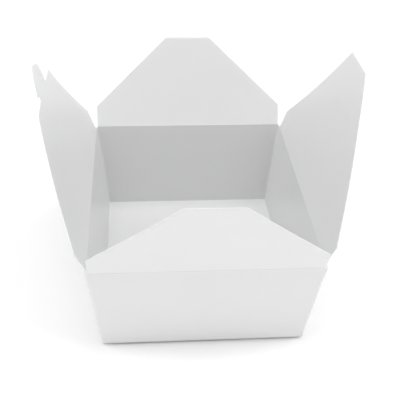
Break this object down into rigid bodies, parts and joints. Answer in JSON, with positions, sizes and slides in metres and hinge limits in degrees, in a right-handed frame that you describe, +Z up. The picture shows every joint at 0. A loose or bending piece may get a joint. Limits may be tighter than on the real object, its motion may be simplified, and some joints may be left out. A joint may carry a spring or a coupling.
{
  "type": "takeout food box",
  "caption": "Tapered one-piece paperboard food box with folded corner webs and hinged closing flaps, one with a locking tongue, shown open and empty.",
  "frame": {"origin": "centre of the tray's underside", "axes": "+X to the right side flap with the slit, +Y to the back wall, +Z up"},
  "size_m": [0.1917, 0.2248, 0.1521],
  "materials": {
    "board": "satin clay-coated white paperboard"
  },
  "bodies": {
    "tray": {"tray": "board"},
    "flap_front": {"flap_front": "board"},
    "flap_back": {"flap_back": "board"},
    "flap_left": {"flap_left": "board"},
    "flap_right": {"flap_right": "board"}
  },
  "joints": [
    {"name": "crease_front", "type": "hinge", "parent": "tray", "child": "flap_front", "pos_m": [0, -0.08428, 0.0635], "axis": [-1, 0, 0], "range_deg": [-77.5, 121.5]},
    {"name": "crease_back", "type": "hinge", "parent": "tray", "child": "flap_back", "pos_m": [0, 0.08428, 0.0635], "axis": [1, 0, 0], "range_deg": [-71, 128]},
    {"name": "crease_left", "type": "hinge", "parent": "tray", "child": "flap_left", "pos_m": [-0.06778, 0, 0.0635], "axis": [0, 1, 0], "range_deg": [-80.7, 103.3]},
    {"name": "crease_right", "type": "hinge", "parent": "tray", "child": "flap_right", "pos_m": [0.06778, 0, 0.0635], "axis": [0, -1, 0], "range_deg": [-82.8, 103.2]}
  ]
}
